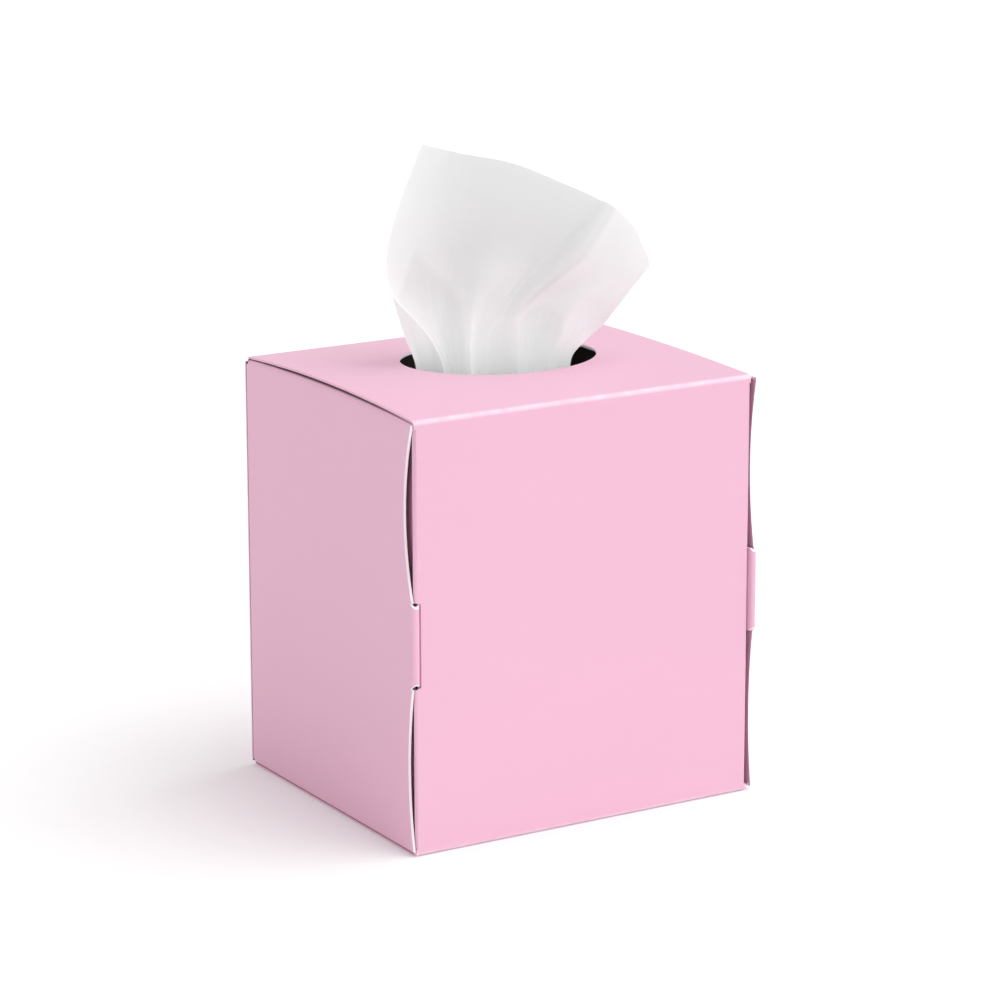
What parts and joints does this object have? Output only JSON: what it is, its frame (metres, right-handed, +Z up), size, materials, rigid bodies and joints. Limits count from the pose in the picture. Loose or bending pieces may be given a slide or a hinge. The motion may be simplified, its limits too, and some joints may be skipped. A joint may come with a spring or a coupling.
{
  "type": "cube tissue box",
  "caption": "Upright cube tissue box of folded pink card, with an oval hole in the top, end flaps that lock by tabs, and a folded white tissue standing out.",
  "frame": {"origin": "on the bottom panel, under the middle of the closed carton", "axes": "+Z up; the front panel, without a glued seam, faces -Y; +X is to the right as seen from the front"},
  "size_m": [0.1154, 0.0989, 0.1911],
  "materials": {
    "pink_card": "satin",
    "white_tissue": "matt"
  },
  "bodies": {
    "box": {"carton": "pink_card", "tissue_stack": "white_tissue", "pop_up_tissue": "white_tissue"},
    "left_flap": {"left_end_flap": "pink_card"},
    "right_flap": {"right_end_flap": "pink_card"}
  },
  "joints": [
    {"name": "left_flap_fold", "type": "hinge", "parent": "box", "child": "left_flap", "pos_m": [-0.05685, 0.049, 0.063], "axis": [0, 0, -1], "range_deg": [0, 160]},
    {"name": "right_flap_fold", "type": "hinge", "parent": "box", "child": "right_flap", "pos_m": [0.05685, 0.049, 0.063], "axis": [0, 0, 1], "range_deg": [0, 159]}
  ]
}
